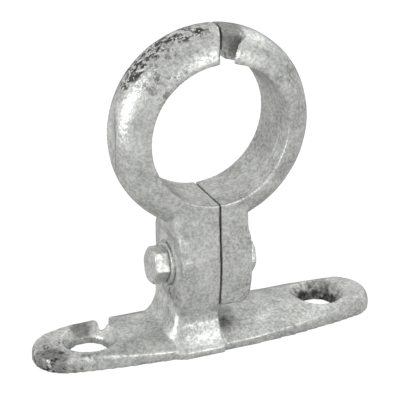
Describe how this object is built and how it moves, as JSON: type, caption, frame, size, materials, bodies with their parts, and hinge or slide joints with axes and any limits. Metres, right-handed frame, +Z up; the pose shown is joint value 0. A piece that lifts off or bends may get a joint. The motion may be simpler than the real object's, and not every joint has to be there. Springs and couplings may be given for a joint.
{
  "type": "tube clamp base flange",
  "caption": "Screw-down base with a split pipe ring: half ring cast with the plate, loose half hooked on at the top and bolted through the stem.",
  "frame": {"origin": "middle of the plate's flat underside, below the seam between the two halves of the stem", "axes": "+Z up from the mounting face, +X along the plate from the half cast with the base to the loose half, +Y along the clamped tube"},
  "size_m": [0.07, 0.0194, 0.0618],
  "materials": {
    "base_iron": "hot-dip galvanised, rough cast",
    "clamp_iron": "hot-dip galvanised, rough cast",
    "bolt_steel": "galvanised, dull",
    "washer_steel": "galvanised, dull",
    "nut_steel": "galvanised, dull"
  },
  "bodies": {
    "root": {"base_casting": "base_iron", "clamp_half": "clamp_iron", "clamp_bolt": "bolt_steel", "bolt_washer": "washer_steel", "clamp_nut": "nut_steel"}
  },
  "joints": []
}
